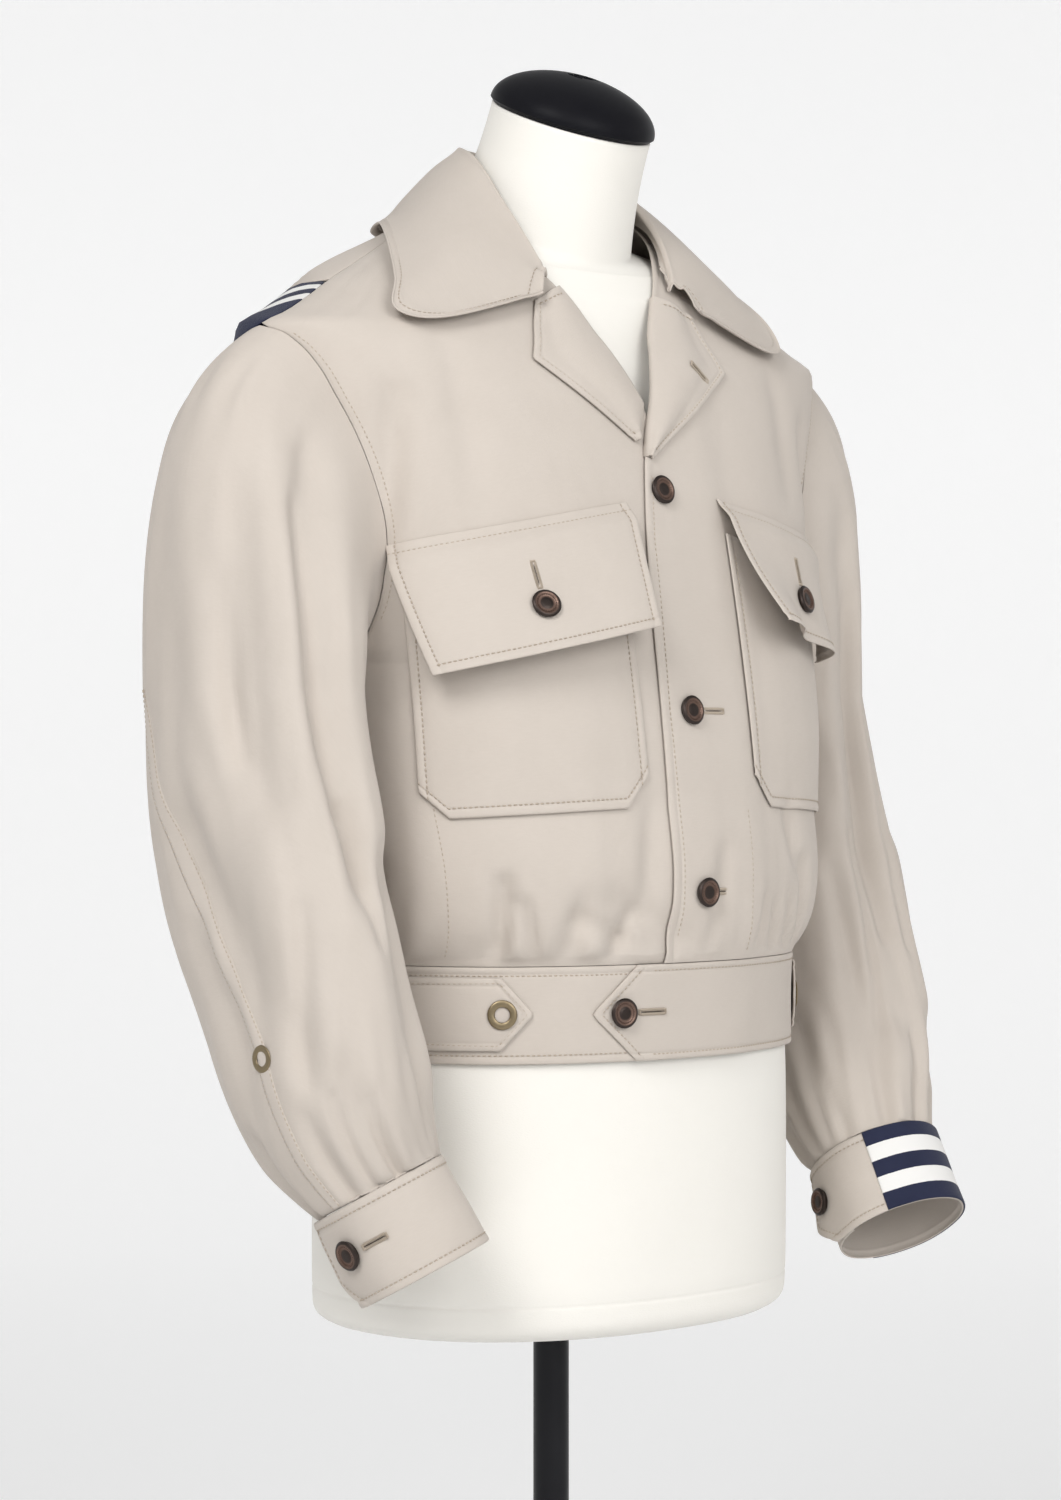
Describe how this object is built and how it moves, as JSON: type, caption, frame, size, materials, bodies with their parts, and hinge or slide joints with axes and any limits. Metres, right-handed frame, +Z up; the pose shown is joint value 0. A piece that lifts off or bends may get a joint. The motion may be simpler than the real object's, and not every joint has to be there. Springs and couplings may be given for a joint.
{
  "type": "flight jacket on a limbless dress form",
  "caption": "Short flight jacket with pocket flaps, wide collar and striped trim, worn open at the neck on a limbless dress form that stands on a pole and a round base.",
  "frame": {"origin": "centre of the flat underside of the round base, on the floor", "axes": "+Z up along the pole; the wearer faces -Y, so the wearer's left is +X"},
  "size_m": [0.6406, 0.3249, 1.3752],
  "materials": {
    "cotton": "beige cotton twill, matt",
    "striped_cotton": "navy and white striped cotton, matt",
    "form_cloth": "cream jersey stretched over the form",
    "black_finish": "satin black",
    "black_metal": "satin black powder coat",
    "button_metal": "dark bronze, satin",
    "eyelet_metal": "antique brass"
  },
  "bodies": {
    "root": {"form_body": "form_cloth", "neck_cap": "black_finish", "stand_pole": "black_metal", "stand_base": "black_metal", "back": "cotton", "back_strip_right": "striped_cotton", "back_strip_left": "striped_cotton", "waistband": "cotton", "collar": "cotton", "front_right": "cotton", "front_left": "cotton", "lapel_right": "cotton", "lapel_left": "cotton", "pocket_right": "cotton", "pocket_left": "cotton", "flap_right": "cotton", "flap_left": "cotton", "side_tab_right": "cotton", "side_tab_left": "cotton", "sleeve_right": "cotton", "sleeve_left": "cotton", "cuff_right": "cotton", "cuff_left": "cotton", "cuff_left_stripe": "striped_cotton", "button_front_1": "button_metal", "button_front_2": "button_metal", "button_front_3": "button_metal", "button_band": "button_metal", "button_flap_right": "button_metal", "button_flap_left": "button_metal", "button_cuff_right": "button_metal", "button_cuff_left": "button_metal", "eyelet_tab_right": "eyelet_metal", "eyelet_tab_left": "eyelet_metal", "eyelet_sleeve_right": "eyelet_metal", "eyelet_sleeve_left": "eyelet_metal"}
  },
  "joints": []
}
